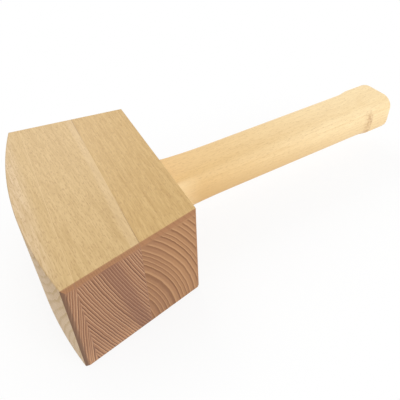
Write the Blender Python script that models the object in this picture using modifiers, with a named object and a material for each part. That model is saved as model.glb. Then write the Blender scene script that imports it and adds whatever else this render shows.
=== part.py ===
"""Joiner's mallet: a tapered, domed head of three glued staves on a waisted handle.

The handle's tenon passes right through the head. A wedge driven from the crown spreads it in a
flared mortise, so the head can't fly off. Metres, +Z up. The mallet lies on one cheek, the handle
runs along +X and the striking faces look along Y.
"""

import math

import bmesh
import bpy

# Head
HEAD_LENGTH_CROWN = 0.150   # between the striking faces, at the ends of the crown
HEAD_LENGTH_THROAT = 0.122  # between the striking faces, at the throat where the handle leaves
HEAD_HEIGHT = 0.082         # along the handle, from the crown's ends to the throat
HEAD_THICKNESS = 0.074      # cheek to cheek
CROWN_RISE = 0.011          # height of the domed crown above its ends
CROWN_STAVE_EDGE = 0.007    # thickness of the crown stave at its thin ends
THROAT_STAVE = 0.038        # thickness of the stave on the handle side
FACE_CHAMFER = 0.0020       # chamfer round each striking face
HEAD_ARRIS = 0.0010         # eased edges of the rest of the head
GLUE_LINE = 0.0003          # gap between two staves

# Handle
HANDLE_REACH = 0.216        # from the throat to the handle's end
BILLET_WIDTH = 0.0360       # full section at both ends of the handle, along Y
BILLET_DEPTH = 0.0330       # full section along Z
COLLAR_CORNER = 0.0060      # corner radius at the throat
POMMEL_CORNER = 0.0105      # corner radius at the handle's end
WAIST_CUT_WIDTH = 0.0010    # how much the grip is cut in on each side, along Y
WAIST_CUT_DEPTH = 0.0005    # how much the grip is cut in on top and below, along Z
GRIP_CORNER = 0.0110        # corner radius of the grip
CORNER_FADE = 0.050         # length over which the collar's corners grow round
COLLAR_LENGTH = 0.003       # full section left at the throat
POMMEL_LENGTH = 0.024       # full section left at the handle's end
RUN_OUT = 0.012             # length of the hollow run-outs between full section and grip
END_ROUND = 0.0050          # rounded edge of the handle's end
SHOULDER_GAP = 0.0003       # between the handle's shoulder and the throat

# Through tenon and wedge
TENON_WIDTH = 0.023         # along Y, where the tenon enters the throat
TENON_DEPTH = 0.019         # along Z
TENON_CLEARANCE = 0.0003    # between the tenon and each wall of the mortise
KERF_LENGTH = 0.060         # saw cut in the tenon, measured back from the crown's top
KERF_WIDTH = 0.0020         # saw cut at its closed end
WEDGE_SPREAD = 0.0036       # how much the wedge opens the tenon at the crown's top
WEDGE_TIP_GAP = 0.0040      # from the wedge's tip to the closed end of the saw cut
WEDGE_CLEARANCE = 0.0003    # between the wedge and each side of the saw cut

# Smoothness
CROWN_STEPS = 28
CORNER_STEPS = 6
RUN_OUT_STEPS = 7
FADE_STEPS = 5
END_STEPS = 4
SHARP_EDGE = math.radians(30)  # two faces that meet at more than this make an edge to ease
FACING_Y = 0.9                 # a face whose normal has more of Y than this is a striking face

# Places on the handle's axis, counted from the throat towards the handle's end
CROWN_END = -HEAD_HEIGHT
CROWN_TOP = CROWN_END - CROWN_RISE
GLUE_PLANE_OUTER = CROWN_END + CROWN_STAVE_EDGE
GLUE_PLANE_INNER = -THROAT_STAVE
KERF_ROOT = CROWN_TOP + KERF_LENGTH
OVERALL_LENGTH = HANDLE_REACH - CROWN_TOP
OVERCUT = HEAD_THICKNESS    # how far cutters reach past what they cut

BEECH_CHEEK = (0.69, 0.48, 0.26)
BEECH_CROWN = (0.63, 0.46, 0.29)
BEECH_HANDLE = (0.86, 0.63, 0.36)
WEDGE_WOOD = (0.40, 0.24, 0.13)


def clear_scene():
    """Empty the file of the objects it opened with."""
    for old in list(bpy.data.objects):
        bpy.data.objects.remove(old, do_unlink=True)


def make_collection(name):
    """Add a collection to the scene."""
    made = bpy.data.collections.new(name)
    bpy.context.scene.collection.children.link(made)
    return made


def wood(name, color, roughness):
    """A plain wood material in one colour."""
    material = bpy.data.materials.new(name)
    material.use_nodes = True
    shader = material.node_tree.nodes["Principled BSDF"]
    shader.inputs["Base Color"].default_value = (*color, 1.0)
    shader.inputs["Roughness"].default_value = roughness
    shader.inputs["Metallic"].default_value = 0.0
    material.diffuse_color = (*color, 1.0)
    return material


def outline_mesh(name, outline, thickness):
    """Mesh of a flat outline in the XY plane, thickened evenly to both sides along Z."""
    curve = bpy.data.curves.new(name, "CURVE")
    curve.dimensions = "2D"
    curve.fill_mode = "BOTH"
    curve.extrude = thickness / 2
    spline = curve.splines.new("POLY")
    spline.points.add(len(outline) - 1)
    for point, (x, y) in zip(spline.points, outline):
        point.co = (x, y, 0.0, 1.0)
    spline.use_cyclic_u = True
    drawn = bpy.data.objects.new(name, curve)
    bpy.context.scene.collection.objects.link(drawn)
    depsgraph = bpy.context.evaluated_depsgraph_get()
    mesh = bpy.data.meshes.new_from_object(drawn.evaluated_get(depsgraph))
    bpy.data.objects.remove(drawn, do_unlink=True)
    mesh.name = name
    solid = bmesh.new()
    solid.from_mesh(mesh)
    bmesh.ops.remove_doubles(solid, verts=solid.verts, dist=1e-6)
    bmesh.ops.dissolve_limit(solid, angle_limit=math.radians(0.1), verts=solid.verts, edges=solid.edges)
    bmesh.ops.recalc_face_normals(solid, faces=solid.faces)
    solid.to_mesh(mesh)
    solid.free()
    return mesh


def mark_edges(mesh):
    """Weigh the head's edges: full chamfers round the striking faces, eased edges elsewhere."""
    solid = bmesh.new()
    solid.from_mesh(mesh)
    weight = solid.edges.layers.float.new("bevel_weight_edge")
    for edge in solid.edges:
        if edge.calc_face_angle(0.0) > SHARP_EDGE:
            striking = any(abs(face.normal.y) > FACING_Y for face in edge.link_faces)
            edge[weight] = 1.0 if striking else HEAD_ARRIS / FACE_CHAMFER
    solid.to_mesh(mesh)
    solid.free()


def add_piece(name, mesh, collection, frame, material):
    """Place a mesh in the mallet's frame, whose origin is the middle of the throat."""
    piece = bpy.data.objects.new(name, mesh)
    piece.parent = frame
    collection.objects.link(piece)
    mesh.materials.clear()
    mesh.materials.append(material)
    return piece


def add_cutter(name, mesh, collection, frame):
    """Place a mesh that only shapes other pieces."""
    cutter = bpy.data.objects.new(name, mesh)
    cutter.parent = frame
    collection.objects.link(cutter)
    cutter.hide_render = True
    cutter.display_type = "WIRE"
    return cutter


def boolean(piece, operation, cutter):
    """Cut, keep or join a piece with another mesh."""
    modifier = piece.modifiers.new(f"{operation.lower()} {cutter.name}", "BOOLEAN")
    modifier.operation = operation
    modifier.object = cutter
    modifier.solver = "EXACT"


def crown_arc():
    """Points of the domed crown, from one striking face to the other."""
    half = HEAD_LENGTH_CROWN / 2
    radius = (half ** 2 + CROWN_RISE ** 2) / (2 * CROWN_RISE)
    sweep = math.asin(half / radius)
    centre = CROWN_TOP + radius
    angles = [sweep * (1 - 2 * step / CROWN_STEPS) for step in range(CROWN_STEPS + 1)]
    return [(centre - radius * math.cos(angle), radius * math.sin(angle)) for angle in angles]


def head_outline():
    """The cheek's outline: straight throat, tapered striking faces and domed crown."""
    throat = HEAD_LENGTH_THROAT / 2
    return [(0.0, throat)] + crown_arc() + [(0.0, -throat)]


def slab_outline(start, end):
    """A rectangle across the head between two places on the handle's axis."""
    side = HEAD_LENGTH_CROWN / 2 + OVERCUT
    return [(start, -side), (end, -side), (end, side), (start, side)]


def above_crown_outline():
    """Everything beyond the crown, used to trim what comes out of it."""
    side = HEAD_LENGTH_CROWN / 2
    outside = CROWN_TOP - OVERCUT
    return [(outside, side)] + crown_arc() + [(outside, -side)]


def flared_outline(start, root, root_half):
    """Straight from start to the kerf's root, then spread by the wedge up to past the crown."""
    past = CROWN_TOP - OVERCUT
    slope = WEDGE_SPREAD / 2 / KERF_LENGTH
    past_half = root_half + slope * (root - past)
    upper = [(start, root_half), (root, root_half), (past, past_half)]
    lower = [(x, -y) for x, y in reversed(upper)]
    return upper + lower


def wedge_outline():
    """Long taper that fills the opened saw cut, less its clearance."""
    past = CROWN_TOP - OVERCUT
    tip = KERF_ROOT - WEDGE_TIP_GAP
    slope = WEDGE_SPREAD / 2 / KERF_LENGTH
    kerf_half = KERF_WIDTH / 2 - WEDGE_CLEARANCE
    tip_half = kerf_half + slope * WEDGE_TIP_GAP
    past_half = kerf_half + slope * (KERF_ROOT - past)
    return [(tip, tip_half), (past, past_half), (past, -past_half), (tip, -tip_half)]


def section_ring(x, width, depth, corner):
    """Rounded rectangle across the handle's axis."""
    ring = []
    for quarter in range(4):
        turn = quarter * math.pi / 2
        side_y = 1 if quarter in (0, 3) else -1
        side_z = 1 if quarter in (0, 1) else -1
        for step in range(CORNER_STEPS + 1):
            angle = turn + step / CORNER_STEPS * math.pi / 2
            y = side_y * (width / 2 - corner) + corner * math.cos(angle)
            z = side_z * (depth / 2 - corner) + corner * math.sin(angle)
            ring.append((x, y, z))
    return ring


def handle_sections():
    """Sections along the handle: collar, run-out, grip, run-out, pommel and rounded end."""
    pommel_start = HANDLE_REACH - POMMEL_LENGTH
    grip_start = COLLAR_LENGTH + RUN_OUT

    def section(x, cut, inset=0.0):
        width = BILLET_WIDTH - 2 * (cut * WAIST_CUT_WIDTH + inset)
        depth = BILLET_DEPTH - 2 * (cut * WAIST_CUT_DEPTH + inset)
        if x > HANDLE_REACH / 2:
            end_corner, share = POMMEL_CORNER, cut
        else:
            fade = min(1.0, x / CORNER_FADE)
            end_corner, share = COLLAR_CORNER, fade * (2 - fade)
        corner = end_corner + share * (GRIP_CORNER - end_corner) - inset
        return section_ring(x, width, depth, corner)

    shares = [step / RUN_OUT_STEPS for step in range(RUN_OUT_STEPS + 1)]
    fades = [step / FADE_STEPS for step in range(1, FADE_STEPS + 1)]
    rings = [section(SHOULDER_GAP, 0.0)]
    rings += [section(COLLAR_LENGTH + RUN_OUT * share, 1 - (1 - share) ** 2) for share in shares]
    rings += [section(grip_start + (CORNER_FADE - grip_start) * share, 1.0) for share in fades]
    rings += [section(pommel_start - RUN_OUT * (1 - share), 1 - share ** 2) for share in shares]
    for step in range(END_STEPS + 1):
        angle = step / END_STEPS * math.pi / 2
        x = HANDLE_REACH - END_ROUND * (1 - math.sin(angle))
        rings.append(section(x, 0.0, END_ROUND * (1 - math.cos(angle))))
    return rings


def handle_mesh():
    """Skin the handle's sections from the shoulder to the rounded end."""
    solid = bmesh.new()
    rings = [[solid.verts.new(point) for point in ring] for ring in handle_sections()]
    for ring, following in zip(rings, rings[1:]):
        for index in range(len(ring)):
            after = (index + 1) % len(ring)
            solid.faces.new((ring[index], ring[after], following[after], following[index]))
    solid.faces.new(list(reversed(rings[0])))
    solid.faces.new(rings[-1])
    bmesh.ops.recalc_face_normals(solid, faces=solid.faces)
    mesh = bpy.data.meshes.new("handle")
    solid.to_mesh(mesh)
    solid.free()
    mesh.shade_smooth()
    mesh.set_sharp_from_angle(angle=math.radians(40))
    return mesh


def build_head(parts, cutters, frame):
    """Three staves sawn from one shaped head, with the mortise through all of them."""
    mortise_half = TENON_WIDTH / 2 + TENON_CLEARANCE
    mortise_outline = flared_outline(OVERCUT, KERF_ROOT, mortise_half)
    mortise_depth = TENON_DEPTH + 2 * TENON_CLEARANCE
    mortise = add_cutter("mortise", outline_mesh("mortise", mortise_outline, mortise_depth), cutters, frame)
    half_glue = GLUE_LINE / 2
    staves = (
        ("crown_stave", CROWN_TOP - OVERCUT, GLUE_PLANE_OUTER - half_glue, BEECH_CROWN),
        ("middle_stave", GLUE_PLANE_OUTER + half_glue, GLUE_PLANE_INNER - half_glue, BEECH_CHEEK),
        ("throat_stave", GLUE_PLANE_INNER + half_glue, OVERCUT, BEECH_CHEEK),
    )
    for name, start, end, color in staves:
        shape = outline_mesh(name, head_outline(), HEAD_THICKNESS)
        mark_edges(shape)
        stave = add_piece(name, shape, parts, frame, wood(f"{name} beech", color, 0.55))
        easing = stave.modifiers.new("chamfers and eased edges", "BEVEL")
        easing.width = FACE_CHAMFER
        easing.segments = 1
        easing.limit_method = "WEIGHT"
        slab_shape = outline_mesh(f"{name}_slab", slab_outline(start, end), HEAD_THICKNESS + 2 * OVERCUT)
        boolean(stave, "INTERSECT", add_cutter(f"{name}_slab", slab_shape, cutters, frame))
        boolean(stave, "DIFFERENCE", mortise)


def build_handle(parts, cutters, frame):
    """The stick: grip, tenon with its opened saw cut, trimmed flush with the crown."""
    tenon_outline = flared_outline(HANDLE_REACH / 2, KERF_ROOT, TENON_WIDTH / 2)
    kerf_outline = flared_outline(KERF_ROOT, KERF_ROOT, KERF_WIDTH / 2)
    tenon_shape = outline_mesh("tenon", tenon_outline, TENON_DEPTH)
    kerf_shape = outline_mesh("kerf", kerf_outline, TENON_DEPTH + OVERCUT)
    trim_shape = outline_mesh("above_crown", above_crown_outline(), HEAD_THICKNESS + OVERCUT)
    tenon = add_cutter("tenon", tenon_shape, cutters, frame)
    kerf = add_cutter("kerf", kerf_shape, cutters, frame)
    trim = add_cutter("above_crown", trim_shape, cutters, frame)
    handle = add_piece("handle", handle_mesh(), parts, frame, wood("handle beech", BEECH_HANDLE, 0.5))
    boolean(handle, "UNION", tenon)
    boolean(handle, "DIFFERENCE", kerf)
    boolean(handle, "DIFFERENCE", trim)
    wedge_shape = outline_mesh("tenon_wedge", wedge_outline(), TENON_DEPTH)
    wedge = add_piece("tenon_wedge", wedge_shape, parts, frame, wood("wedge hardwood", WEDGE_WOOD, 0.6))
    boolean(wedge, "DIFFERENCE", trim)


def main():
    clear_scene()
    parts = make_collection("mallet")
    cutters = make_collection("cutters")
    frame = bpy.data.objects.new("mallet_frame", None)
    frame.location = (OVERALL_LENGTH / 2 - HANDLE_REACH, 0.0, HEAD_THICKNESS / 2)
    parts.objects.link(frame)
    build_head(parts, cutters, frame)
    build_handle(parts, cutters, frame)


main()
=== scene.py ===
"""Looks of a joiner's mallet: three glued beech staves on a waisted, wedged handle.

Metres, +Z up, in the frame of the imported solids: the handle runs along +X, the striking faces look
along Y, and the mallet lies on its lower cheek.
"""

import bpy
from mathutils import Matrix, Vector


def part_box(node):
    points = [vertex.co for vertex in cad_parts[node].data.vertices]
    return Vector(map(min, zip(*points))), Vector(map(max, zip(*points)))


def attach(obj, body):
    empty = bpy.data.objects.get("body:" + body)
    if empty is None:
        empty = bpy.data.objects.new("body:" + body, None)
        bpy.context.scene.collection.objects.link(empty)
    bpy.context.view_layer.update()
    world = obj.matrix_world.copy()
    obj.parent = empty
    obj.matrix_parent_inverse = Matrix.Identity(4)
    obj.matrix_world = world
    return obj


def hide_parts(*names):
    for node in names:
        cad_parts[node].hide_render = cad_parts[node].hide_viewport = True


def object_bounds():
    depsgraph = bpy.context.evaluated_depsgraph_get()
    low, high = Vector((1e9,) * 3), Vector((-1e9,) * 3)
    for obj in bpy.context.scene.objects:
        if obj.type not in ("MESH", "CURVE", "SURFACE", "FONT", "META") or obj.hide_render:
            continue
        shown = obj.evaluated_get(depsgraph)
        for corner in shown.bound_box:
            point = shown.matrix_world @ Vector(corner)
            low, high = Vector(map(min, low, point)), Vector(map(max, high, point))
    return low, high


bl_info = {
    "name": "Joiner's Mallet",
    "version": (1, 0, 0),
    "blender": (4, 5, 0),
    "location": "View3D > Sidebar > Mallet",
    "description": "Models and finishes a laminated beech mallet around its packed solids",
    "category": "Object",
}

import math
from collections import namedtuple

import bmesh
import bpy
from mathutils import Matrix, Vector

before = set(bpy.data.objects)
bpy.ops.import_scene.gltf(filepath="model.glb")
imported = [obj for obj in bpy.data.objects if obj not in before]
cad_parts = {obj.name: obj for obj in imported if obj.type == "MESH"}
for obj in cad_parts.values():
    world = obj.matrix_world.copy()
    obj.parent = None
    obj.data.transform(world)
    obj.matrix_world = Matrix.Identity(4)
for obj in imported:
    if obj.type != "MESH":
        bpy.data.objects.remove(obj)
CAD_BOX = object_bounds()

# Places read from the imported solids
CROWN_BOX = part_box("crown_stave")
MIDDLE_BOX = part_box("middle_stave")
THROAT_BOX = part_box("throat_stave")
HANDLE_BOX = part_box("handle")
WEDGE_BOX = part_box("tenon_wedge")
CROWN_TOP = CROWN_BOX[0].x
THROAT = THROAT_BOX[1].x
HANDLE_END = HANDLE_BOX[1].x
BILLET_WIDTH = HANDLE_BOX[1].y - HANDLE_BOX[0].y
BILLET_DEPTH = HANDLE_BOX[1].z - HANDLE_BOX[0].z
LOWER_CHEEK = THROAT_BOX[0].z
UPPER_CHEEK = THROAT_BOX[1].z
AXIS_HEIGHT = (LOWER_CHEEK + UPPER_CHEEK) / 2

# Both sides of each glue line, the staves between them and the middle stave's own middle
OUTER_GLUE = (CROWN_BOX[1].x, MIDDLE_BOX[0].x)
INNER_GLUE = (MIDDLE_BOX[1].x, THROAT_BOX[0].x)
CROWN_SPAN = (None, OUTER_GLUE[0])
MIDDLE_SPAN = (OUTER_GLUE[1], INNER_GLUE[0])
THROAT_SPAN = (INNER_GLUE[1], None)
STAVE_MIDDLE = sum(MIDDLE_SPAN) / 2

# Cutters reach past what they cut
OVERCUT = 0.05
PAST_CROWN = CROWN_TOP - OVERCUT
PAST_THROAT = THROAT + OVERCUT

# Distances under which two places count as one, or two vertices are merged
SAME_PLACE = 1e-5
MERGED = 1e-6

# Steps of the round parts
DISC_STEPS = 720
ARRIS_STEPS = 3
SOFTENING_STEPS = 2
CORNER_STEPS = 10
RUN_OUT_STEPS = 10
END_STEPS = 5

# Angles between two faces: more than the first is a square edge, more than the second also a
# chamfer's, and under the third the shading runs on
SQUARE_EDGE = math.radians(70)
CHAMFER_EDGE = math.radians(35)
SMOOTH_ANGLE = math.radians(32)


def from_srgb(red, green, blue):
    """Linear colour of three sRGB values from 0 to 255."""
    shares = [value / 255 for value in (red, green, blue)]
    return tuple(s / 12.92 if s <= 0.04045 else ((s + 0.055) / 1.055) ** 2.4 for s in shares)


def between(low, high, share):
    """Value at a share of the way from low to high."""
    return low + (high - low) * share


def number(name, description, default, **settings):
    """A number that a user can change."""
    return bpy.props.FloatProperty(name=name, description=description, default=default, **settings)


def length(name, description, default):
    """A size in metres that a user can change."""
    return number(name, description, default, min=0.0, precision=4, subtype="DISTANCE", unit="LENGTH")


def angle(name, description, degrees):
    """An angle that a user can change, written in degrees."""
    return number(name, description, math.radians(degrees), subtype="ANGLE", unit="ROTATION")


def colour(name, description, red, green, blue):
    """A colour that a user can change, written as sRGB."""
    return bpy.props.FloatVectorProperty(
        name=name, description=description, default=from_srgb(red, green, blue),
        size=3, min=0.0, max=1.0, subtype="COLOR")


class MALLET_PG_sizes(bpy.types.PropertyGroup):
    """Sizes of the mallet that its packed boxes don't tell"""

    length_at_crown: length("Length at Crown", "Between the striking faces at the crown's ends", 0.150)
    length_at_throat: length("Length at Throat", "Between the striking faces at the throat", 0.122)
    crown_rise: length("Crown Rise", "Height of the domed crown above its ends", 0.011)
    face_chamfer: length("Face Chamfer", "Chamfer round each striking face", 0.0020)
    arris: length("Arris", "Rounding of the head's other edges", 0.0008)
    chamfer_softening: length("Chamfer Softening", "Rounding of the chamfer's own edges", 0.0003)
    tenon_width: length("Tenon Width", "Tenon along the striking direction", 0.023)
    tenon_depth: length("Tenon Depth", "Tenon from cheek to cheek", 0.019)
    tenon_clearance: length("Tenon Clearance", "Between the tenon and the mortise", 0.0003)
    kerf_length: length("Kerf Length", "Saw cut in the tenon, back from the crown's top", 0.060)
    kerf_width: length("Kerf Width", "Saw cut at its closed end", 0.0020)
    wedge_spread: length("Wedge Spread", "How far the wedge opens the tenon at the crown", 0.0036)
    wedge_clearance: length("Wedge Clearance", "Between the wedge and the saw cut", 0.0003)
    collar_length: length("Collar Length", "Full section left at the throat", 0.003)
    pommel_length: length("Pommel Length", "Full section left at the handle's end", 0.024)
    run_out: length("Run-out", "Hollow between the full section and the grip", 0.012)
    collar_corner: length("Collar Corner", "Corner radius at the throat", 0.0060)
    pommel_corner: length("Pommel Corner", "Corner radius at the handle's end", 0.0105)
    grip_corner: length("Grip Corner", "Corner radius of the grip", 0.0110)
    corner_fade: length("Corner Fade", "Length over which the collar's corners grow round", 0.050)
    shoulder_gap: length("Shoulder Gap", "Between the handle's shoulder and the throat", 0.0003)
    waist_cut_width: length("Waist Cut Width", "Grip cut in on each side along Y", 0.0010)
    waist_cut_depth: length("Waist Cut Depth", "Grip cut in above and below", 0.0005)
    end_round: length("End Round", "Rounded edge of the handle's end", 0.0050)


class MALLET_PG_finish(bpy.types.PropertyGroup):
    """Colours of the beech, its end grain, the wedge and the glue"""

    cheek: colour("Cheek", "Side grain of the crown and middle staves", 221, 189, 135)
    cheek_pale: colour("Cheek Pale", "Side grain towards the crown", 234, 206, 166)
    cheek_streak: colour("Cheek Streak", "Darker streaks of those staves", 198, 164, 110)
    throat: colour("Throat", "Side grain of the throat stave", 217, 183, 125)
    throat_streak: colour("Throat Streak", "Darker streaks of the throat stave", 193, 156, 99)
    crown: colour("Crown", "Side grain on the domed crown", 225, 196, 159)
    fleck: colour("Fleck", "Short dark flecks in the beech", 172, 132, 88)
    end_grain: colour("End Grain", "Ends of the crown and middle staves", 166, 120, 88)
    late_wood: colour("Late Wood", "Dark side of a ring on those ends", 98, 62, 44)
    early_wood: colour("Early Wood", "Light side of a ring on those ends", 206, 163, 127)
    heart: colour("Heart", "Darker, redder wood on the striking faces", 142, 99, 76)
    throat_end: colour("Throat End", "Ends of the throat stave", 174, 128, 88)
    throat_late: colour("Throat Late Wood", "Dark side of a ring on its ends", 122, 80, 50)
    throat_early: colour("Throat Early Wood", "Light side of a ring on its ends", 194, 148, 106)
    end_warm: colour("End Warm", "Warmer wood low on the striking faces", 206, 155, 114)
    # Also the colour of the handle's dark crescent at the pommel, which is partly painted shade
    eased: colour("Eased Edge", "Worn chamfers of the striking faces", 175, 126, 87)
    # Painted shade: the chamfer between a striking face and the crown is darkened for the shade it faces
    # into
    dark_edge: colour("Dark Edge", "Worn chamfer between a striking face and the crown", 132, 98, 74)
    handle: colour("Handle", "Side grain of the handle near the head", 236, 200, 141)
    # Partly painted light: the handle is paler towards its end also because more light falls there
    handle_pale_and_lit: colour("Handle Pale", "Side grain of the handle towards its end", 255, 230, 182)
    # Also the colour of the painted shade on the handle's lower side
    handle_streak_and_shade: colour("Handle Streak", "Darker streaks of the handle", 218, 180, 122)
    wedge: colour("Wedge", "Early wood of the wedge", 128, 84, 54)
    wedge_streak: colour("Wedge Streak", "Late wood of the wedge", 88, 54, 34)
    glue: colour("Glue", "Dried glue in the joints", 150, 112, 76)


class MALLET_PG_stage(bpy.types.PropertyGroup):
    """Camera, lamps and floor"""

    camera_place: bpy.props.FloatVectorProperty(
        name="Camera Place", description="Where the camera stands", size=3,
        default=(-0.1400, -0.2100, 0.2559), subtype="TRANSLATION", unit="LENGTH")
    azimuth: angle("Azimuth", "Turn of the camera about the upright", -26.08)
    elevation: angle("Elevation", "How far the camera looks down", 35.31)
    roll: angle("Roll", "Turn of the camera about its own axis", -3.02)
    lens: number("Lens", "Focal length in millimetres on a 36 mm sensor", 38.57, unit="CAMERA")
    shift: bpy.props.FloatVectorProperty(
        name="Shift", description="Framing of the picture", size=2, default=(0.04, -0.20))
    sky: number("Sky", "Strength of the even light from all round", 0.62)
    key: number("Key", "Power of the lamp behind the mallet", 4.0, unit="POWER")
    fill: number("Fill", "Power of the lamp on the camera's side", 6.0, unit="POWER")
    floor: colour("Floor", "Colour of the floor", 252, 252, 252)
    floor_white: number(
        "Floor White", "How far the floor near the mallet looks white", 0.86,
        min=0.0, max=1.0, subtype="FACTOR")


# Modelling by hand

def deselect():
    """Leave nothing selected, in object mode."""
    bpy.ops.object.select_all(action="DESELECT")


def activate(piece):
    """Select one piece alone and make it the active one."""
    deselect()
    piece.select_set(True)
    bpy.context.view_layer.objects.active = piece


def open_mesh(piece):
    """Start to edit one piece's mesh."""
    activate(piece)
    bpy.ops.object.mode_set(mode="EDIT")


def close_mesh():
    """Stop editing."""
    bpy.ops.object.mode_set(mode="OBJECT")


def settle(name=None):
    """Move the active object's place, turn and scale into its mesh, name both, and return it."""
    piece = bpy.context.active_object
    bpy.ops.object.transform_apply(location=True, rotation=True, scale=True)
    if name:
        piece.name = name
        piece.data.name = name
    return piece


def add_block(name, low, high):
    """A block between two corners."""
    low, high = Vector(low), Vector(high)
    deselect()
    bpy.ops.mesh.primitive_cube_add(size=1.0, location=(low + high) / 2)
    bpy.context.active_object.scale = high - low
    return settle(name)


def pick(kind, test):
    """In edit mode, select the vertices or edges that pass a test."""
    bpy.ops.mesh.select_mode(type=kind)
    bpy.ops.mesh.select_all(action="DESELECT")
    mesh = bpy.context.edit_object.data
    shape = bmesh.from_edit_mesh(mesh)
    for item in {"VERT": shape.verts, "EDGE": shape.edges}[kind]:
        if test(item):
            item.select_set(True)
    shape.select_flush_mode()
    bmesh.update_edit_mesh(mesh)


def lies_at(vertices, *places):
    """True if all vertices are at the same one of these places along X."""
    return any(all(abs(vertex.co.x - place) < SAME_PLACE for vertex in vertices) for place in places)


def meets_sharply(edge, least):
    """True for an edge whose two faces meet at more than an angle."""
    return len(edge.link_faces) == 2 and edge.calc_face_angle(0.0) > least


def cut_along(point, normal, **settings):
    """In edit mode, cut the whole mesh along a plane."""
    bpy.ops.mesh.select_all(action="SELECT")
    bpy.ops.mesh.bisect(plane_co=point, plane_no=normal, **settings)


def bevel_picked(offset, segments):
    """In edit mode, round the edges that are selected."""
    bpy.ops.mesh.bevel(
        offset=offset, offset_type="OFFSET", segments=segments, affect="EDGES", clamp_overlap=False)


def widen(x, factor):
    """In edit mode, scale what lies at a place along X in width, about the handle's axis."""
    pick("VERT", lambda vertex: lies_at([vertex], x))
    bpy.ops.transform.resize(value=(1.0, factor, 1.0), center_override=(x, 0.0, AXIS_HEIGHT))


def add_taper(name, low_x, low_width, high_x, high_width, depth):
    """A block across the handle's axis whose width along Y changes evenly along X."""
    bottom, top = AXIS_HEIGHT - depth / 2, AXIS_HEIGHT + depth / 2
    block = add_block(name, (low_x, -0.5, bottom), (high_x, 0.5, top))
    open_mesh(block)
    widen(low_x, low_width)
    widen(high_x, high_width)
    close_mesh()
    return block


def carve(piece, operation, cutter):
    """Cut, keep or join a piece with another mesh, for good."""
    activate(piece)
    modifier = piece.modifiers.new("carve", "BOOLEAN")
    modifier.operation = operation
    modifier.object = cutter
    modifier.solver = "EXACT"
    bpy.ops.object.modifier_apply(modifier=modifier.name)
    if not piece.data.polygons:
        raise RuntimeError(f"nothing is left of {piece.name}")


def discard(*scraps):
    """Remove shapes that only served to make others."""
    for scrap in scraps:
        bpy.data.objects.remove(scrap, do_unlink=True)


def tidy_mesh(piece):
    """Merge doubles, turn the faces outwards and shade the round parts smooth."""
    open_mesh(piece)
    bpy.ops.mesh.select_all(action="SELECT")
    bpy.ops.mesh.remove_doubles(threshold=MERGED)
    bpy.ops.mesh.normals_make_consistent(inside=False)
    close_mesh()
    bpy.ops.object.shade_smooth_by_angle(angle=SMOOTH_ANGLE)


def hand_over(piece, material, slot, *nodes):
    """Give a finished piece its material and its place on the body; the slot it is handed is not used."""
    piece.data.materials.clear()
    piece.data.materials.append(material)
    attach(piece, "root")
    if nodes:
        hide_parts(*nodes)


# Head

def crown_radius(sizes):
    """Radius of the domed crown."""
    half = sizes.length_at_crown / 2
    return (half ** 2 + sizes.crown_rise ** 2) / (2 * sizes.crown_rise)


def trim_to_crown(piece, sizes):
    """Keep what is inside a large disc whose rim is the domed crown."""
    radius = crown_radius(sizes)
    deselect()
    bpy.ops.mesh.primitive_cylinder_add(
        vertices=DISC_STEPS, radius=radius, depth=2 * (UPPER_CHEEK - LOWER_CHEEK), end_fill_type="NGON",
        location=(CROWN_TOP + radius, 0.0, AXIS_HEIGHT))
    disc = settle("crown_round")
    carve(piece, "INTERSECT", disc)
    discard(disc)


def face_edges(sizes, side):
    """A point on each edge of a striking face, with the outward normal of the surface beyond it."""
    throat_y = side * sizes.length_at_throat / 2
    crown_y = side * sizes.length_at_crown / 2
    crown_x = CROWN_TOP + sizes.crown_rise
    radius = crown_radius(sizes)
    dome = Vector((crown_x - CROWN_TOP - radius, crown_y, 0.0)) / radius
    return (
        (Vector((THROAT, throat_y, UPPER_CHEEK)), Vector((0.0, 0.0, 1.0))),
        (Vector((THROAT, throat_y, LOWER_CHEEK)), Vector((0.0, 0.0, -1.0))),
        (Vector((THROAT, throat_y, AXIS_HEIGHT)), Vector((1.0, 0.0, 0.0))),
        (Vector((crown_x, crown_y, AXIS_HEIGHT)), dome),
    )


def plane_off(corner, face, neighbour, width):
    """Plane away the edge between two surfaces, as far back on each of them as the chamfer's width."""
    away = (face * neighbour.dot(face) - neighbour).normalized()
    cut_along(corner + away * width, (face + neighbour).normalized(), use_fill=True, clear_outer=True)


def add_head_blank(sizes):
    """The whole head: tapered, domed, with chamfered striking faces and eased edges."""
    height = THROAT - CROWN_TOP - sizes.crown_rise
    slope = (sizes.length_at_crown - sizes.length_at_throat) / height
    top_length = sizes.length_at_throat + slope * (THROAT - CROWN_TOP)
    blank = add_taper(
        "head_blank", CROWN_TOP, top_length, THROAT, sizes.length_at_throat, UPPER_CHEEK - LOWER_CHEEK)
    trim_to_crown(blank, sizes)
    open_mesh(blank)
    for side in (-1.0, 1.0):
        face = Vector((slope / 2, side, 0.0)).normalized()
        for corner, neighbour in face_edges(sizes, side):
            plane_off(corner, face, neighbour, sizes.face_chamfer)
    pick("EDGE", lambda edge: meets_sharply(edge, SQUARE_EDGE))
    bevel_picked(sizes.arris, ARRIS_STEPS)
    pick("EDGE", lambda edge: meets_sharply(edge, CHAMFER_EDGE))
    bevel_picked(sizes.chamfer_softening, SOFTENING_STEPS)
    close_mesh()
    return blank


def kerf_root(sizes):
    """Place of the saw cut's closed end along X."""
    return CROWN_TOP + sizes.kerf_length


def spread_at(sizes, x):
    """How much wider than at the kerf's root the wedge makes the tenon at a place along X."""
    return sizes.wedge_spread * (kerf_root(sizes) - x) / sizes.kerf_length


def add_spread(name, sizes, width, start, depth):
    """A taper from a place in the head to past the crown that widens as the tenon is spread."""
    past_width = width + spread_at(sizes, PAST_CROWN)
    return add_taper(name, PAST_CROWN, past_width, start, width + spread_at(sizes, start), depth)


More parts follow.
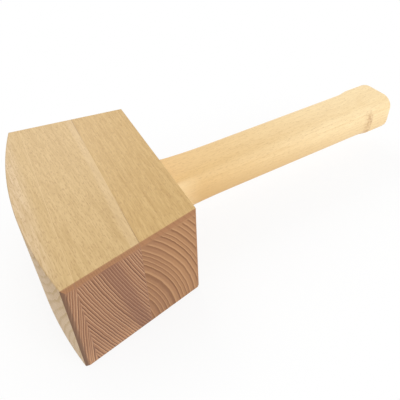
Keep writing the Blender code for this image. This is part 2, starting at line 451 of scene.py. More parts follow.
def add_flared(name, sizes, width, depth):
    """A bar through the head, straight from the throat to the kerf's root and spread from there on."""
    root = kerf_root(sizes)
    past_width = width + spread_at(sizes, PAST_CROWN)
    bar = add_taper(name, PAST_CROWN, past_width, PAST_THROAT, width, depth)
    root_width = between(past_width, width, (root - PAST_CROWN) / (PAST_THROAT - PAST_CROWN))
    open_mesh(bar)
    cut_along((root, 0.0, 0.0), (1.0, 0.0, 0.0))
    widen(root, width / root_width)
    close_mesh()
    return bar


def cut_slice(blank, name, start, end):
    """A copy of the blank, kept only between two planes across the handle's axis."""
    activate(blank)
    bpy.ops.object.duplicate(linked=False)
    piece = settle(name)
    open_mesh(piece)
    if start is not None:
        cut_along((start, 0.0, 0.0), (1.0, 0.0, 0.0), use_fill=True, clear_inner=True)
    if end is not None:
        cut_along((end, 0.0, 0.0), (1.0, 0.0, 0.0), use_fill=True, clear_outer=True)
    close_mesh()
    return piece


class MALLET_OT_staves(bpy.types.Operator):
    """Shape the three staves and the glue films between them from one head"""

    bl_idname = "mallet.staves"
    bl_label = "Head Staves"

    def execute(self, context):
        sizes = context.scene.mallet_sizes
        finish = context.scene.mallet_finish
        gap = 2 * sizes.tenon_clearance
        blank = add_head_blank(sizes)
        mortise = add_flared("mortise", sizes, sizes.tenon_width + gap, sizes.tenon_depth + gap)
        slices = (
            ("dressed_crown_stave", CROWN_SPAN, crown_beech, "crown_beech", "crown_stave"),
            ("dressed_middle_stave", MIDDLE_SPAN, middle_beech, "middle_beech", "middle_stave"),
            ("dressed_throat_stave", THROAT_SPAN, throat_beech, "throat_beech", "throat_stave"),
            ("outer_glue_film", OUTER_GLUE, glue_film, "middle_beech"),
            ("inner_glue_film", INNER_GLUE, glue_film, "throat_beech"),
        )
        for name, span, material, slot, *nodes in slices:
            piece = cut_slice(blank, name, *span)
            carve(piece, "DIFFERENCE", mortise)
            tidy_mesh(piece)
            hand_over(piece, material(finish), slot, *nodes)
        discard(blank, mortise)
        return {"FINISHED"}


# Handle and wedge

def add_section(x, width, depth, corner):
    """A rounded rectangle of edges across the handle's axis."""
    deselect()
    bpy.ops.mesh.primitive_plane_add(
        size=1.0, location=(x, 0.0, AXIS_HEIGHT), rotation=(0.0, math.pi / 2, 0.0))
    bpy.context.active_object.scale = (depth, width, 1.0)
    section = settle()
    open_mesh(section)
    bpy.ops.mesh.select_all(action="SELECT")
    bpy.ops.mesh.bevel(offset=corner, segments=CORNER_STEPS, affect="VERTICES", clamp_overlap=False)
    bpy.ops.mesh.select_all(action="SELECT")
    bpy.ops.mesh.delete(type="ONLY_FACE")
    close_mesh()
    return section


def handle_stations(sizes):
    """Place, waist cut and corner radius of each section: collar, run-out, grip, run-out, pommel."""
    shares = [step / RUN_OUT_STEPS for step in range(RUN_OUT_STEPS + 1)]
    collar = THROAT + sizes.collar_length
    grip = collar + sizes.run_out
    pommel = HANDLE_END - sizes.pommel_length
    head_half = [(THROAT + sizes.shoulder_gap, 0.0)]
    head_half += [(collar + sizes.run_out * share, 1 - (1 - share) ** 2) for share in shares]
    head_half += [(between(grip, THROAT + sizes.corner_fade, share), 1.0) for share in shares[1:]]
    pommel_half = [(pommel - sizes.run_out * (1 - share), 1 - share ** 2) for share in shares]
    pommel_half += [(HANDLE_END, 0.0)]
    stations = []
    for x, cut in head_half:
        fade = (x - THROAT) / sizes.corner_fade
        stations.append((x, cut, between(sizes.collar_corner, sizes.grip_corner, fade * (2 - fade))))
    for x, cut in pommel_half:
        stations.append((x, cut, between(sizes.pommel_corner, sizes.grip_corner, cut)))
    return stations


def add_stick(name, sizes):
    """The handle without its tenon, bridged through its sections and rounded at its end."""
    stations = handle_stations(sizes)
    sections = []
    for x, cut, corner in stations:
        width = BILLET_WIDTH - 2 * cut * sizes.waist_cut_width
        depth = BILLET_DEPTH - 2 * cut * sizes.waist_cut_depth
        sections.append(add_section(x, width, depth, corner))
    activate(sections[0])
    for section in sections:
        section.select_set(True)
    bpy.ops.object.join()
    stick = settle(name)
    open_mesh(stick)
    places = [x for x, cut, corner in stations]
    for place, following in zip(places, places[1:]):
        pick("EDGE", lambda edge: lies_at(edge.verts, place, following))
        bpy.ops.mesh.bridge_edge_loops()
    for place in (places[0], places[-1]):
        pick("EDGE", lambda edge: lies_at(edge.verts, place))
        bpy.ops.mesh.edge_face_add()
    bpy.ops.mesh.select_all(action="SELECT")
    bpy.ops.mesh.normals_make_consistent(inside=False)
    pick("EDGE", lambda edge: lies_at(edge.verts, HANDLE_END))
    bevel_picked(sizes.end_round, END_STEPS)
    close_mesh()
    return stick


class MALLET_OT_handle(bpy.types.Operator):
    """Bridge the waisted handle and cut its through tenon flush with the crown"""

    bl_idname = "mallet.handle"
    bl_label = "Handle"

    def execute(self, context):
        sizes = context.scene.mallet_sizes
        stick = add_stick("dressed_handle", sizes)
        tenon = add_flared("tenon", sizes, sizes.tenon_width, sizes.tenon_depth)
        kerf = add_spread("kerf", sizes, sizes.kerf_width, kerf_root(sizes), 2 * sizes.tenon_depth)
        carve(stick, "UNION", tenon)
        carve(stick, "DIFFERENCE", kerf)
        trim_to_crown(stick, sizes)
        discard(tenon, kerf)
        tidy_mesh(stick)
        hand_over(stick, handle_beech(context.scene.mallet_finish, sizes), "handle_beech", "handle")
        return {"FINISHED"}


class MALLET_OT_wedge(bpy.types.Operator):
    """Taper the wedge and trim it flush with the crown"""

    bl_idname = "mallet.wedge"
    bl_label = "Tenon Wedge"

    def execute(self, context):
        sizes = context.scene.mallet_sizes
        width = sizes.kerf_width - 2 * sizes.wedge_clearance
        wedge = add_spread("dressed_wedge", sizes, width, WEDGE_BOX[1].x, sizes.tenon_depth)
        trim_to_crown(wedge, sizes)
        tidy_mesh(wedge)
        hand_over(wedge, wedge_wood(context.scene.mallet_finish), "wedge_hardwood", "tenon_wedge")
        return {"FINISHED"}


# Materials

AXES = ("X", "Y", "Z")
WHITE = (1.0, 1.0, 1.0, 1.0)
NOISE_ROUGHNESS = 0.55

# Numbers of a Mix node's sockets when it mixes colours
MIX_FACTOR = 0
MIX_FIRST = 6
MIX_SECOND = 7
MIX_RESULT = 2


class Wire:
    """A shader socket that takes part in sums: each operation adds a Math node."""

    def __init__(self, sheet, socket):
        self.sheet = sheet
        self.socket = socket

    def calculate(self, operation, *values):
        """Output of a Math node fed with these values."""
        return self.sheet.node("ShaderNodeMath", {"operation": operation}, dict(enumerate(values)))

    def __add__(self, other):
        return self.calculate("ADD", self, other)

    __radd__ = __add__

    def __sub__(self, other):
        return self.calculate("SUBTRACT", self, other)

    def __rsub__(self, other):
        return self.calculate("SUBTRACT", other, self)

    def __mul__(self, other):
        return self.calculate("MULTIPLY", self, other)

    __rmul__ = __mul__

    def __truediv__(self, other):
        return self.calculate("DIVIDE", self, other)

    def __rtruediv__(self, other):
        return self.calculate("DIVIDE", other, self)

    def __pow__(self, other):
        return self.calculate("POWER", self, other)

    def __neg__(self):
        return self * -1.0

    def __abs__(self):
        return self.calculate("ABSOLUTE", self)

    def fraction(self):
        """What is left after the whole number."""
        return self.calculate("FRACT", self)

    def whole(self):
        """The whole number below."""
        return self.calculate("FLOOR", self)

    def larger(self, other):
        """The larger of two."""
        return self.calculate("MAXIMUM", self, other)


class Sheet:
    """The node tree of a material or of the world, with one method that adds any node."""

    def __init__(self, owner):
        owner.use_nodes = True
        self.owner = owner
        self.tree = owner.node_tree

    def node(self, kind, settings, sockets, output=0):
        """Add a node, set it, feed its sockets with values or links, and return one output."""
        made = self.tree.nodes.new(kind)
        for name, value in settings.items():
            setattr(made, name, value)
        self.feed(made, sockets)
        return Wire(self, made.outputs[output])

    def feed(self, node, sockets):
        """Set or link a node's input sockets, named by text or by number."""
        for name, value in sockets.items():
            if isinstance(value, Wire):
                self.tree.links.new(value.socket, node.inputs[name])
            else:
                node.inputs[name].default_value = value

    def split(self, vector):
        """The three parts of a vector, by axis."""
        return {axis: self.node("ShaderNodeSeparateXYZ", {}, {0: vector}, output=axis) for axis in AXES}

    def coordinates(self, output):
        """Place or direction on the object, in the object's own frame."""
        return self.node("ShaderNodeTexCoord", {}, {}, output=output)

    def ramp(self, value, low, high):
        """0 below low, 1 above high and a smooth step between."""
        return self.node(
            "ShaderNodeMapRange", {"interpolation_type": "SMOOTHSTEP", "clamp": True},
            {"Value": value, "From Min": low, "From Max": high, "To Min": 0.0, "To Max": 1.0})

    def window(self, value, start, rise, fall, stop):
        """1 between rise and fall, 0 before start and after stop."""
        return self.ramp(value, start, rise) * (1 - self.ramp(value, fall, stop))

    def noise(self, vector, scale, detail):
        """Noise from 0 to 1."""
        return self.node(
            "ShaderNodeTexNoise", {"noise_dimensions": "3D"},
            {"Vector": vector, "Scale": scale, "Detail": detail, "Roughness": NOISE_ROUGHNESS})

    def blend(self, factor, first, second):
        """Colour between two colours."""
        return self.node(
            "ShaderNodeMix", {"data_type": "RGBA", "clamp_factor": True},
            {MIX_FACTOR: factor, MIX_FIRST: self.as_colour(first), MIX_SECOND: self.as_colour(second)},
            output=MIX_RESULT)

    @staticmethod
    def as_colour(value):
        """A colour with its alpha, or a socket as it is."""
        return value if isinstance(value, Wire) else (*value, 1.0)

    def seen(self):
        """1 where the camera, a gloss or glass looks straight at the surface, else 0."""
        kinds = ("Is Camera Ray", "Is Glossy Ray", "Is Transmission Ray")
        camera, gloss, glass = [self.node("ShaderNodeLightPath", {}, {}, output=kind) for kind in kinds]
        return camera.larger(gloss).larger(glass)


# A noise of the wood: how fast it changes along the fibres next to across them, its scale and detail
Noise = namedtuple("Noise", "along scale detail")

# Every wood has slow and close waves in its rings, then fibres, bands, strands, specks and grit
Grain = namedtuple("Grain", "slow close fibre bands strands specks grit")
GRAIN = Grain(
    slow=Noise(0.18, 26.0, 2.0),
    close=Noise(0.10, 170.0, 2.0),
    fibre=Noise(0.022, 1300.0, 3.0),
    bands=Noise(0.035, 95.0, 3.0),
    strands=Noise(0.10, 900.0, 2.0),
    specks=Noise(0.20, 1800.0, 1.0),
    grit=Noise(1.0, 2200.0, 2.0))

# Share of a streak that a noise gives, with the noise's values where it starts and where it is full,
# and those values of the specks for a fleck
STREAKS = (("bands", 0.26, 0.28, 0.74), ("strands", 0.46, 0.34, 0.66), ("fibre", 0.28, 0.38, 0.68))
FLECKS = (0.56, 0.67)

# Parts of a normal along an axis, where a surface starts to face that way and where it fully does
END_FACING = (0.45, 0.68)
FLAT_END_FACING = (0.86, 0.96)
CROWN_FACING = (0.45, 0.80)
CROWN_CHAMFER_SHADE_FACING = (0.25, 0.45)
NEAR_FACING = (0.45, 0.95)

# Waves of a ring in metres, and how its width varies: over how many rings, by how much of a ring
SLOW_WAVE = 0.0016
CLOSE_WAVE = 0.0006
UNEVEN_OVER = 2.6
UNEVEN_BY = 1.1

# Shares of a ring: late wood is full, falls and ends, early wood is full and ends
LATE_WOOD = (0.86, 0.93, 1.0)
EARLY_WOOD = (0.06, 0.32)
FAINTEST_RING = 0.55

# Heights on a striking face between which warmer wood ends, depths below the upper cheek between
# which the rings start, and the waves of both and of heart wood
WARM_BELOW = (0.001, 0.020)
WARM_WAVE = 0.02
RINGS_BELOW = (0.0012, 0.0045)
RINGS_WAVE = 0.006
HEART_WAVE = 0.006

# How strongly grit and rings darken the end grain and the worn chamfers, the grit that a chamfer
# doesn't show, and how far heart wood hides the rings
END_GRIT = 0.45
CHAMFER_CLEAN = 0.4
CHAMFER_GRIT = 0.6
CHAMFER_RING = 0.22
HEART_HIDES = 0.55

# Relief of the wood and its gloss, from fibres, rings, flecks and grit
RELIEF_STRENGTH = 0.35
RELIEF_DEPTH = 0.0002
FIBRE_HEIGHT = 0.5
RING_HEIGHT = 0.15
FLECK_DEPTH = 0.5
GRIT_HEIGHT = 0.3
SMOOTHEST = 0.46
FIBRE_ROUGHNESS = 0.12
END_ROUGHNESS = 0.14

# Places along X between which the head turns pale towards the crown, and the handle towards its end,
# there partly as painted light
CROWN_PALE = (CROWN_TOP + 0.0145, CROWN_TOP + 0.0025)
HANDLE_PALE_AND_LIT = (THROAT + 0.01, HANDLE_END - 0.03)

# Marks on the staves, by their distance off a glue line or the middle stave's middle: where each
# starts, is full, falls and ends. Sapwood only starts and is full, the glue side only falls and ends
SAPWOOD = (-0.0055, -0.0035)
SAPWOOD_STRENGTH = 0.20
SAPWOOD_WAVE = 0.003
LEANING_HEART = (0.0005, 0.0050, 0.0100, 0.0150)
LEANING_STRENGTH = 0.85
HEART_LEAN = 0.22
GLUE_SIDE = (0.006, 0.024)
GLUE_SIDE_STRENGTH = 0.35

# Marks on the handle, in the same way: the painted highlight by its distance off the throat and the torn
# mark with painted shade off the pommel's crease. That mark is also bound in height, and the painted
# shade on the lower side falls and ends upwards, both in half depths of the grip off the axis, and
# weakens towards the handle's end
HOLLOW_HIGHLIGHT = (0.0, 0.005, 0.009, 0.030)
HOLLOW_HIGHLIGHT_STRENGTH = 0.6
HOLLOW_HIGHLIGHT_WAVE = 0.010
SCAR_AND_SHADE = (-0.0085, -0.0010, 0.0, 0.0025)
SCAR_AND_SHADE_RISE = (-1.1, -0.5, 0.2, 0.9)
SCAR_AND_SHADE_BOW = 0.003
SCAR_AND_SHADE_WAVE = 0.004
SCAR_AND_SHADE_STRENGTH = 0.10
TORN = (0.36, 0.66)
TORN_STRENGTH = 0.55
LOW_SHADE_RISE = (-0.6, 0.5)
LOW_SHADE_STRENGTH = 0.80
LOW_SHADE_LOST = 0.55

# Scale and detail of the noises that don't follow a grain
TORN_NOISE = (430.0, 3.0)
GLUE_RUNS = (120.0, 3.0)
GLUE_BEADS = (900.0, 2.0)

# Distances from the handle's axis between which glue starts to show on a cheek
GLUE_SHOWS = (0.015, 0.055)

# How a piece was sawn from its tree: the axis of its fibres, the level axis across them, the pith's
# place along that and in height, the width of a ring, a turn of the fibres about the upright in
# degrees, a shift of all noises, and how the rings fan out about the middle stave's middle
Sawing = namedtuple("Sawing", "along across pith ring_width turn seed fan", defaults=(0.0,))

# How strongly a piece shows its rings on the cheek and on the crown, its streaks and its flecks, how
# strong its rings are on the end grain, the share of a ring where late wood starts, how much warmer
# the end grain is low down, and where along X the piece turns paler, if it does
Figure = namedtuple(
    "Figure", "cheek_ring crown_ring streak fleck end_ring late_from low_warm pale", defaults=(0.0, None))

# Colours of a piece: side grain and its paler end (on the handle partly painted light), the crown,
# streaks and flecks, then end grain with its late and early wood, darker heart and warmer part, and the
# worn chamfers with the painted shade on the one at the crown
Palette = namedtuple("Palette", "side pale crown streak fleck end late early heart warm eased dark_edge")

# What a wood's colours are made from: its sheet, the place as one and by axis, the normal by axis, its
# noises, and how far each point is late wood, early wood and fleck
Cut = namedtuple("Cut", "sheet spot place facing grain late early fleck")


def swing(noise, reach):
    """A noise that swings about zero, half its reach to each side at most."""
    return (noise - 0.5) * reach


def lay_grain(sheet, spot, sawing):
    """The noises of a piece, drawn out along its fibres."""
    turn = (0.0, 0.0, math.radians(-sawing.turn))
    placed = sheet.node(
        "ShaderNodeMapping", {}, {"Vector": spot, "Location": sawing.seed, "Rotation": turn})
    noises = []
    for noise in GRAIN:
        scale = [noise.along if axis == sawing.along else 1.0 for axis in AXES]
        drawn_out = sheet.node("ShaderNodeMapping", {}, {"Vector": placed, "Scale": scale})
        noises.append(sheet.noise(drawn_out, noise.scale, noise.detail))
    return Grain(*noises)


def growth_rings(sheet, place, grain, sawing, late_from):
    """How far each point is late wood and early wood, in rings about the pith."""
    across, up = place[sawing.across], place["Z"]
    distance = ((across - sawing.pith[0]) ** 2 + (up - sawing.pith[1]) ** 2) ** 0.5
    if sawing.fan:
        distance = distance + sawing.fan * (across - STAVE_MIDDLE) * (up - AXIS_HEIGHT)
    distance = distance + swing(grain.slow, SLOW_WAVE) + swing(grain.close, CLOSE_WAVE)
    uneven = sheet.node(
        "ShaderNodeTexNoise", {"noise_dimensions": "1D"},
        {"W": distance / (UNEVEN_OVER * sawing.ring_width), "Scale": 1.0, "Detail": 1.0})
    count = distance / sawing.ring_width + uneven * UNEVEN_BY
    share = count.fraction()
    drawn = sheet.node("ShaderNodeTexWhiteNoise", {"noise_dimensions": "1D"}, {"W": count.whole()})
    strength = FAINTEST_RING + (1 - FAINTEST_RING) * drawn
    return sheet.window(share, late_from, *LATE_WOOD) * strength, 1 - sheet.ramp(share, *EARLY_WOOD)


def side_grain(cut, figure, palette):
    """Colour along the fibres: streaks, faint rings and flecks."""
    sheet = cut.sheet
    streak = figure.streak * sum(
        part * sheet.ramp(getattr(cut.grain, name), low, high) for name, part, low, high in STREAKS)
    crown = sheet.ramp(-cut.facing["X"], *CROWN_FACING)
    ring = cut.late * (figure.cheek_ring + crown * (figure.crown_ring - figure.cheek_ring))
    ground = palette.side
    if figure.pale:
        # On the handle this paling towards its end is partly painted light
        ground = sheet.blend(sheet.ramp(cut.place["X"], *figure.pale), palette.side, palette.pale)
    ground = sheet.blend(crown, ground, palette.crown)
    side = sheet.blend(streak + ring, ground, palette.streak)
    return sheet.blend(cut.fleck, side, palette.fleck)


def end_grain(cut, figure, palette, heart):
    """Colour across the fibres: rings and grit on wood that is warmer low down and darker at heart."""
    sheet, grain, height = cut.sheet, cut.grain, cut.place["Z"]
    low = 1 - sheet.ramp(height + swing(grain.slow, WARM_WAVE), *WARM_BELOW)
    below_cheek = UPPER_CHEEK - height + swing(grain.close, RINGS_WAVE)
    shown = sheet.ramp(below_cheek, *RINGS_BELOW) * figure.end_ring
    ground = sheet.blend(low * figure.low_warm, palette.end, palette.warm)
    if heart:
        dark = heart(cut)
        ground = sheet.blend(dark, ground, palette.heart)
        shown = shown * (1 - HEART_HIDES * dark)
    ground = sheet.blend(cut.early * shown, ground, palette.early)
    return sheet.blend(cut.late * shown + swing(grain.grit, END_GRIT), ground, palette.late)


def worn_and_shaded_chamfers(cut, palette):
    """Colour of the chamfers round a striking face, with painted shade on the one at the crown."""
    sheet = cut.sheet
    # Painted shade: the chamfer that faces the crown's way takes the darker colour
    at_crown = sheet.ramp(-cut.facing["X"], *CROWN_CHAMFER_SHADE_FACING)
    eased = sheet.blend(at_crown, palette.eased, palette.dark_edge)
    worn = (cut.grain.grit - CHAMFER_CLEAN) * CHAMFER_GRIT + cut.late * CHAMFER_RING
    return sheet.blend(worn, eased, palette.late)


def wood(name, sawing, figure, palette, mark=None, heart=None):
    """Wood with growth rings, fibres, flecks, darker end grain and worn chamfers."""
    sheet = Sheet(bpy.data.materials.new(name))
    spot = sheet.coordinates("Object")
    place = sheet.split(spot)
    facing = sheet.split(sheet.coordinates("Normal"))
    grain = lay_grain(sheet, spot, sawing)
    late, early = growth_rings(sheet, place, grain, sawing, figure.late_from)
    fleck = sheet.ramp(grain.specks, *FLECKS) * figure.fleck
    cut = Cut(sheet, spot, place, facing, grain, late, early, fleck)
    side = side_grain(cut, figure, palette)
    if mark:
        side = mark(cut, side)
    endwise = abs(facing[sawing.along])
    end = sheet.ramp(endwise, *END_FACING)
    flat_end = sheet.ramp(endwise, *FLAT_END_FACING)
    ends = sheet.blend(flat_end, worn_and_shaded_chamfers(cut, palette), end_grain(cut, figure, palette, heart))
    height = grain.fibre * FIBRE_HEIGHT + late * end * RING_HEIGHT
    height = height - fleck * FLECK_DEPTH + grain.grit * GRIT_HEIGHT
    bump = sheet.node(
        "ShaderNodeBump", {}, {"Strength": RELIEF_STRENGTH, "Distance": RELIEF_DEPTH, "Height": height})
    sheet.feed(sheet.tree.nodes["Principled BSDF"], {
        "Base Color": sheet.blend(end, side, ends),
        "Roughness": SMOOTHEST + grain.fibre * FIBRE_ROUGHNESS + end * END_ROUGHNESS,
        "Normal": bump,
        "Specular IOR Level": 0.35,
    })
    return sheet.owner


def head_palette(finish):
    """Colours of the crown stave, which the other staves vary."""
    return Palette(
        side=finish.cheek, pale=finish.cheek_pale, crown=finish.crown, streak=finish.cheek_streak,
        fleck=finish.fleck, end=finish.end_grain, late=finish.late_wood, early=finish.early_wood,
        heart=finish.heart, warm=finish.end_warm, eased=finish.eased, dark_edge=finish.dark_edge)


def plain_palette(side, pale, streak, fleck):
    """Colours of a piece whose ends look like its sides."""
    return Palette(
        side=side, pale=pale, crown=side, streak=streak, fleck=fleck, end=side, late=streak, early=pale,
        heart=streak, warm=side, eased=pale, dark_edge=side)


def crown_beech(finish):
    """Thin outer stave, whose rings lie almost level with the crown."""
    sawing = Sawing(
        along="Y", across="X", pith=(CROWN_TOP + 0.8145, AXIS_HEIGHT - 0.117), ring_width=0.0013,
        turn=5.0, seed=(1.3, 0.4, 2.2))
    figure = Figure(
        cheek_ring=0.06, crown_ring=0.70, streak=0.80, fleck=0.40, end_ring=0.85, late_from=0.45,
        low_warm=1.0, pale=CROWN_PALE)
    return wood("crown beech", sawing, figure, head_palette(finish))


def middle_beech(finish):
    """Middle stave, fine straight rings that lean across the striking face."""
    sawing = Sawing(
        along="Y", across="X", pith=(STAVE_MIDDLE + 2.853, AXIS_HEIGHT + 0.927), ring_width=0.0015,
        turn=7.0, seed=(0.0, 0.0, 0.0), fan=-2.5)
    figure = Figure(
        cheek_ring=0.06, crown_ring=0.06, streak=0.92, fleck=0.42, end_ring=0.95, late_from=0.45,
        low_warm=0.60, pale=CROWN_PALE)

    def pale_band(cut, side):
        """Sapwood left along the inner glue line."""
        off_glue = cut.place["X"] - INNER_GLUE[0] + swing(cut.grain.bands, SAPWOOD_WAVE)
        band = cut.sheet.ramp(off_glue, *SAPWOOD) * SAPWOOD_STRENGTH
        return cut.sheet.blend(band, side, finish.cheek_pale)

    def leaning_heart(cut):
        """Darker wood in a band that leans as the rings do."""
        lean = (cut.place["Z"] - AXIS_HEIGHT) * HEART_LEAN
        off_middle = cut.place["X"] - STAVE_MIDDLE + lean + swing(cut.grain.slow, HEART_WAVE)
        return cut.sheet.window(off_middle, *LEANING_HEART) * LEANING_STRENGTH

    palette = head_palette(finish)._replace(crown=finish.cheek)
    return wood("middle beech", sawing, figure, palette, pale_band, leaning_heart)


def throat_beech(finish):
    """Throat stave, wide curved rings about a pith past the crown and just below the lower cheek."""
    sawing = Sawing(
        along="Y", across="X", pith=(THROAT - 0.132, AXIS_HEIGHT - 0.049), ring_width=0.0031,
        turn=1.0, seed=(3.1, 0.7, 1.9))
    figure = Figure(
        cheek_ring=0.12, crown_ring=0.12, streak=0.92, fleck=0.38, end_ring=0.90, late_from=0.52)

    def glue_side(cut):
        """Darker wood on the side of the inner glue line."""
        off_glue = cut.place["X"] - INNER_GLUE[1] + swing(cut.grain.slow, HEART_WAVE)
        return (1 - cut.sheet.ramp(off_glue, *GLUE_SIDE)) * GLUE_SIDE_STRENGTH

    palette = head_palette(finish)._replace(
        side=finish.throat, crown=finish.throat, streak=finish.throat_streak, end=finish.throat_end,
        late=finish.throat_late, early=finish.throat_early)
    return wood("throat beech", sawing, figure, palette, heart=glue_side)


def handle_beech(finish, sizes):
    """Pale stick with its grain along the handle."""
    sawing = Sawing(
        along="X", across="Y", pith=(0.030, AXIS_HEIGHT - 0.182), ring_width=0.0030,
        turn=1.0, seed=(5.2, 1.1, 0.3))
    figure = Figure(
        cheek_ring=0.15, crown_ring=0.15, streak=0.36, fleck=0.22, end_ring=0.80, late_from=0.45,
        pale=HANDLE_PALE_AND_LIT)
    half_depth = BILLET_DEPTH / 2 - sizes.waist_cut_depth
    crease = HANDLE_END - sizes.pommel_length

    def handle_marks_and_painted_light(cut, side):
        """Painted shade on the lower side, a painted highlight near the head, and the torn mark with
        painted shade where the grip ends.
        """
        sheet, bands, x = cut.sheet, cut.grain.bands, cut.place["X"]
        near = sheet.ramp(-cut.facing["Y"], *NEAR_FACING)
        rise = (cut.place["Z"] - AXIS_HEIGHT) / half_depth
        # Painted shade: the lower side is darkened, less so towards the handle's brighter end
        low_shade = LOW_SHADE_STRENGTH - LOW_SHADE_LOST * sheet.ramp(x, THROAT, HANDLE_END)
        low_shade = (1 - sheet.ramp(rise, *LOW_SHADE_RISE)) * low_shade
        # Painted highlight: a paler patch on the near side of the run-out by the head, where light
        # catches the concave surface
        hollow_highlight = sheet.window(x - THROAT + swing(bands, HOLLOW_HIGHLIGHT_WAVE), *HOLLOW_HIGHLIGHT) * HOLLOW_HIGHLIGHT_STRENGTH
        # Partly painted shade: the dark crescent at the pommel's crease is the shade of the concave
        # run-out, with a little real mark in it
        off_crease = x - crease + rise * rise * SCAR_AND_SHADE_BOW + swing(bands, SCAR_AND_SHADE_WAVE)
        torn = sheet.ramp(sheet.noise(cut.spot, *TORN_NOISE), *TORN)
        scar_and_shade = sheet.window(off_crease, *SCAR_AND_SHADE) * sheet.window(rise, *SCAR_AND_SHADE_RISE)
        scar_and_shade = scar_and_shade * (SCAR_AND_SHADE_STRENGTH + TORN_STRENGTH * torn)
        side = sheet.blend(low_shade, side, finish.handle_streak_and_shade)
        side = sheet.blend(near * hollow_highlight, side, finish.handle_pale_and_lit)
        return sheet.blend(near * scar_and_shade, side, finish.eased)

    palette = plain_palette(finish.handle, finish.handle_pale_and_lit, finish.handle_streak_and_shade, finish.fleck)
    return wood("handle beech", sawing, figure, palette, handle_marks_and_painted_light)


def wedge_wood(finish):
    """Darker hardwood of the wedge."""
    sawing = Sawing(
        along="X", across="Y", pith=(0.010, AXIS_HEIGHT - 0.067), ring_width=0.0011,
        turn=0.0, seed=(2.4, 3.3, 0.9))
    figure = Figure(
        cheek_ring=0.5, crown_ring=0.5, streak=0.7, fleck=0.3, end_ring=0.8, late_from=0.45)
    palette = plain_palette(finish.wedge, finish.wedge, finish.wedge_streak, finish.wedge_streak)
    return wood("wedge hardwood", sawing, figure, palette)


def glue_film(finish):
    """Thin glue that only shows as a darker line near the striking faces."""
    sheet = Sheet(bpy.data.materials.new("dried glue"))
    spot = sheet.coordinates("Object")
    place = sheet.split(spot)
    facing = sheet.split(sheet.coordinates("Normal"))
    runs = sheet.noise(spot, *GLUE_RUNS)
    beads = sheet.noise(spot, *GLUE_BEADS)
    inner = sheet.ramp(place["X"], *MIDDLE_SPAN)
    near_end = sheet.ramp(abs(place["Y"]), *GLUE_SHOWS) * inner
    line = sheet.blend(near_end * (0.4 + 0.8 * runs), finish.cheek, finish.glue)
    end = sheet.ramp(abs(facing["Y"]), *END_FACING)
    end_line = sheet.blend(runs * 0.35, finish.end_grain, finish.late_wood)
    bump = sheet.node("ShaderNodeBump", {}, {"Strength": 0.3, "Distance": 0.0001, "Height": beads})
    sheet.feed(sheet.tree.nodes["Principled BSDF"], {
        "Base Color": sheet.blend(end, line, end_line),
        "Roughness": 0.40 + beads * 0.2,
        "Normal": bump,
    })
    return sheet.owner


# Stage

# The floor lies a hair below the cheek, so that no two faces share a plane
FLOOR_SIZE = 6.0
FLOOR_DROP = 0.0002

# How far out the floor starts to look white and where it is, in half lengths of the mallet's box,
# and the scale and detail of its tooth
FLOOR_FADE = (1.0, 2.2)
FLOOR_TOOTH = (400.0, 2.0)

SENSOR_WIDTH = 36.0
NEAREST_SEEN = 0.01

# Square lamps that look at the mallet's middle
Lamp = namedtuple("Lamp", "name place size")
KEY_LAMP = Lamp("key_lamp", (-0.05, 0.75, 0.70), 0.6)
FILL_LAMP = Lamp("fill_lamp", (0.40, -1.00, 0.60), 0.8)
LAMP_TARGET = Vector((0.0, 0.0, AXIS_HEIGHT))


def floor_paper(look):
    """Pale floor that is white to the eye away from the mallet and keeps its soft shadow near it."""
    sheet = Sheet(bpy.data.materials.new("floor paper"))
    spot = sheet.coordinates("Object")
    place = sheet.split(spot)
    tooth = sheet.noise(spot, *FLOOR_TOOTH)
    paper = sheet.tree.nodes["Principled BSDF"]
    sheet.feed(paper, {
        "Base Color": (*look.floor, 1.0),
        "Roughness": 0.85 + tooth * 0.1,
        "Specular IOR Level": 0.0,
    })
    off_mallet = ((place["X"] / CAD_BOX[1].x) ** 2 + (place["Y"] / CAD_BOX[1].y) ** 2) ** 0.5
    clean = look.floor_white + (1 - look.floor_white) * sheet.ramp(off_mallet, *FLOOR_FADE)
    light = sheet.node("ShaderNodeEmission", {}, {"Color": WHITE, "Strength": 1.0})
    mixed = sheet.node(
        "ShaderNodeMixShader", {}, {0: sheet.seen() * clean, 1: Wire(sheet, paper.outputs[0]), 2: light})
    sheet.feed(sheet.tree.nodes["Material Output"], {"Surface": mixed})
    return sheet.owner


def light_world(look):
    """Even light from all round, white where the camera, a gloss or glass looks at it."""
    world = bpy.data.worlds.new("studio")
    bpy.context.scene.world = world
    sheet = Sheet(world)
    shine = sheet.node("ShaderNodeBackground", {}, {"Color": WHITE, "Strength": look.sky})
    shown = sheet.node("ShaderNodeBackground", {}, {"Color": WHITE, "Strength": 1.0})
    mixed = sheet.node("ShaderNodeMixShader", {}, {0: sheet.seen(), 1: shine, 2: shown})
    sheet.feed(sheet.tree.nodes["World Output"], {"Surface": mixed})


def add_lamp(lamp, power):
    """A soft lamp of some power in watts."""
    deselect()
    bpy.ops.object.light_add(type="AREA", location=lamp.place)
    added = bpy.context.active_object
    added.name = lamp.name
    added.data.energy = power
    added.data.shape = "SQUARE"
    added.data.size = lamp.size
    added.rotation_euler = (LAMP_TARGET - Vector(lamp.place)).to_track_quat("-Z", "Y").to_euler()


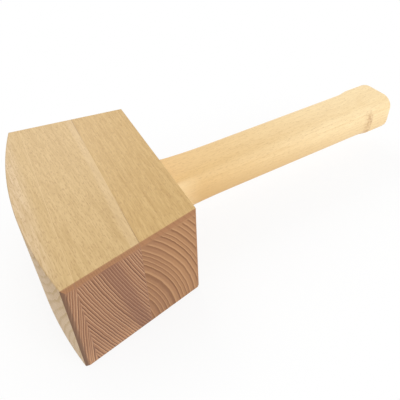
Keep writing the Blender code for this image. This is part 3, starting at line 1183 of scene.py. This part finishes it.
def add_camera(look):
    """The camera at the picture's angle, with its roll and framing."""
    deselect()
    bpy.ops.object.camera_add(location=look.camera_place)
    camera = bpy.context.active_object
    camera.name = "picture_camera"
    turn, rise, roll = look.azimuth, look.elevation, look.roll
    back = Vector((math.sin(turn) * math.cos(rise), -math.cos(turn) * math.cos(rise), math.sin(rise)))
    right = Vector((math.cos(turn), math.sin(turn), 0.0))
    up = back.cross(right)
    side = right * math.cos(roll) + up * math.sin(roll)
    top = up * math.cos(roll) - right * math.sin(roll)
    camera.rotation_euler = Matrix((side, top, back)).transposed().to_euler()
    camera.data.lens = look.lens
    camera.data.sensor_width = SENSOR_WIDTH
    camera.data.shift_x, camera.data.shift_y = look.shift
    camera.data.clip_start = NEAREST_SEEN
    bpy.context.scene.camera = camera


class MALLET_OT_stage(bpy.types.Operator):
    """Lay the floor and set the lamps, the world and the camera"""

    bl_idname = "mallet.stage"
    bl_label = "Stage"

    def execute(self, context):
        look = context.scene.mallet_stage
        deselect()
        bpy.ops.mesh.primitive_plane_add(size=FLOOR_SIZE, location=(0.0, 0.0, LOWER_CHEEK - FLOOR_DROP))
        floor = bpy.context.active_object
        floor.name = "floor"
        floor.data.materials.append(floor_paper(look))
        light_world(look)
        add_lamp(KEY_LAMP, look.key)
        add_lamp(FILL_LAMP, look.fill)
        add_camera(look)
        context.scene.view_settings.view_transform = "Standard"
        return {"FINISHED"}


class VIEW3D_PT_mallet(bpy.types.Panel):
    """Steps that build the mallet, and the values they read"""

    bl_label = "Mallet"
    bl_space_type = "VIEW_3D"
    bl_region_type = "UI"
    bl_category = "Mallet"

    def draw(self, context):
        for step in STEPS:
            self.layout.operator(step.bl_idname)
        for group in GROUPS:
            box = self.layout.box()
            values = getattr(context.scene, group)
            for name in values.__annotations__:
                box.prop(values, name)


STEPS = (MALLET_OT_staves, MALLET_OT_handle, MALLET_OT_wedge, MALLET_OT_stage)
GROUPS = {
    "mallet_sizes": MALLET_PG_sizes,
    "mallet_finish": MALLET_PG_finish,
    "mallet_stage": MALLET_PG_stage,
}


def register():
    """Add the classes and hang their values on the scene."""
    for entry in (*GROUPS.values(), *STEPS, VIEW3D_PT_mallet):
        bpy.utils.register_class(entry)
    for name, group in GROUPS.items():
        setattr(bpy.types.Scene, name, bpy.props.PointerProperty(type=group))


def unregister():
    """Take the values and the classes away again."""
    for name in GROUPS:
        delattr(bpy.types.Scene, name)
    for entry in (VIEW3D_PT_mallet, *reversed(STEPS), *reversed(GROUPS.values())):
        bpy.utils.unregister_class(entry)


def main():
    """Build the mallet and its stage."""
    register()
    bpy.ops.mallet.staves()
    bpy.ops.mallet.handle()
    bpy.ops.mallet.wedge()
    bpy.ops.mallet.stage()


if __name__ == "__main__":
    main()
